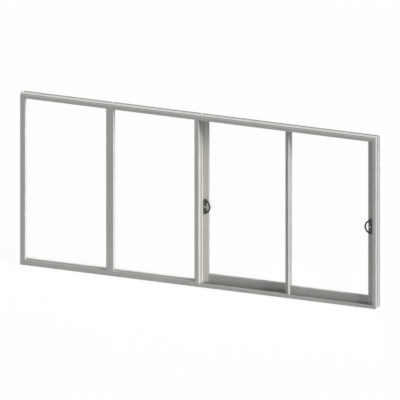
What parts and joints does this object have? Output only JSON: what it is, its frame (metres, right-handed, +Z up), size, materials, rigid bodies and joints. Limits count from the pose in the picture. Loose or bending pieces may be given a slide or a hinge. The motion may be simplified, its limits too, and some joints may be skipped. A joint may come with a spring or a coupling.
{
  "type": "fixed window and sliding door unit",
  "caption": "Long grey aluminium wall unit: fixed lites on the left mulled to a sliding patio door with bypassing glazed panels, dark loop pulls, thumb turns and a nailing fin.",
  "frame": {"origin": "underside of the sub-sill, at the middle of the unit's length and depth", "axes": "+X along the unit to the right seen from the room, +Y from the room side to the outside, +Z up"},
  "size_m": [4.284, 0.136, 2.042],
  "materials": {
    "frame": "satin grey powder coat",
    "panel_frame": "satin grey powder coat",
    "track": "mill finish",
    "glass": "clear",
    "spacer": "dull",
    "roller": "nylon wheel on a steel axle",
    "handle": "dark bronze satin",
    "thumb_turn": "light satin grey, rubbed at the end of the lever"
  },
  "bodies": {
    "frame": {"door_head": "frame", "door_left_jamb": "frame", "door_right_jamb": "frame", "door_sill": "frame", "front_track": "track", "lite_1_glass": "glass", "lite_1_glass_spacer": "spacer", "lite_1_head": "frame", "lite_1_left_jamb": "frame", "lite_1_outside_stops": "frame", "lite_1_right_jamb": "frame", "lite_1_sill": "frame", "lite_1_sill_bead": "frame", "lite_2_glass": "glass", "lite_2_glass_spacer": "spacer", "lite_2_head": "frame", "lite_2_left_jamb": "frame", "lite_2_outside_stops": "frame", "lite_2_right_jamb": "frame", "lite_2_sill": "frame", "lite_2_sill_bead": "frame", "rear_track": "track", "sub_sill": "frame"},
    "left_panel": {"left_panel_bottom_rail": "panel_frame", "left_panel_glass": "glass", "left_panel_glass_spacer": "spacer", "left_panel_handle_plate": "handle", "left_panel_interlock_stile": "panel_frame", "left_panel_lock_stile": "panel_frame", "left_panel_pull": "handle", "left_panel_rollers": "roller", "left_panel_top_rail": "panel_frame"},
    "right_panel": {"right_panel_bottom_rail": "panel_frame", "right_panel_glass": "glass", "right_panel_glass_spacer": "spacer", "right_panel_handle_plate": "handle", "right_panel_interlock_stile": "panel_frame", "right_panel_lock_stile": "panel_frame", "right_panel_pull": "handle", "right_panel_rollers": "roller", "right_panel_top_rail": "panel_frame"},
    "left_thumb_turn": {"left_panel_thumb_turn": "thumb_turn"},
    "right_thumb_turn": {"right_panel_thumb_turn": "thumb_turn"}
  },
  "joints": [
    {"name": "left_panel_slide", "type": "slide", "parent": "frame", "child": "left_panel", "axis": [1, 0, 0], "range_m": [0, 0.9]},
    {"name": "right_panel_slide", "type": "slide", "parent": "frame", "child": "right_panel", "axis": [1, 0, 0], "range_m": [-0.9, 0]},
    {"name": "left_thumb_turn_hinge", "type": "hinge", "parent": "left_panel", "child": "left_thumb_turn", "pos_m": [0.051, 0.019, 0.93], "axis": [0, -1, 0], "range_deg": [0, 90]},
    {"name": "right_thumb_turn_hinge", "type": "hinge", "parent": "right_panel", "child": "right_thumb_turn", "pos_m": [2.044, -0.035, 0.958], "axis": [0, 1, 0], "range_deg": [0, 90]}
  ]
}
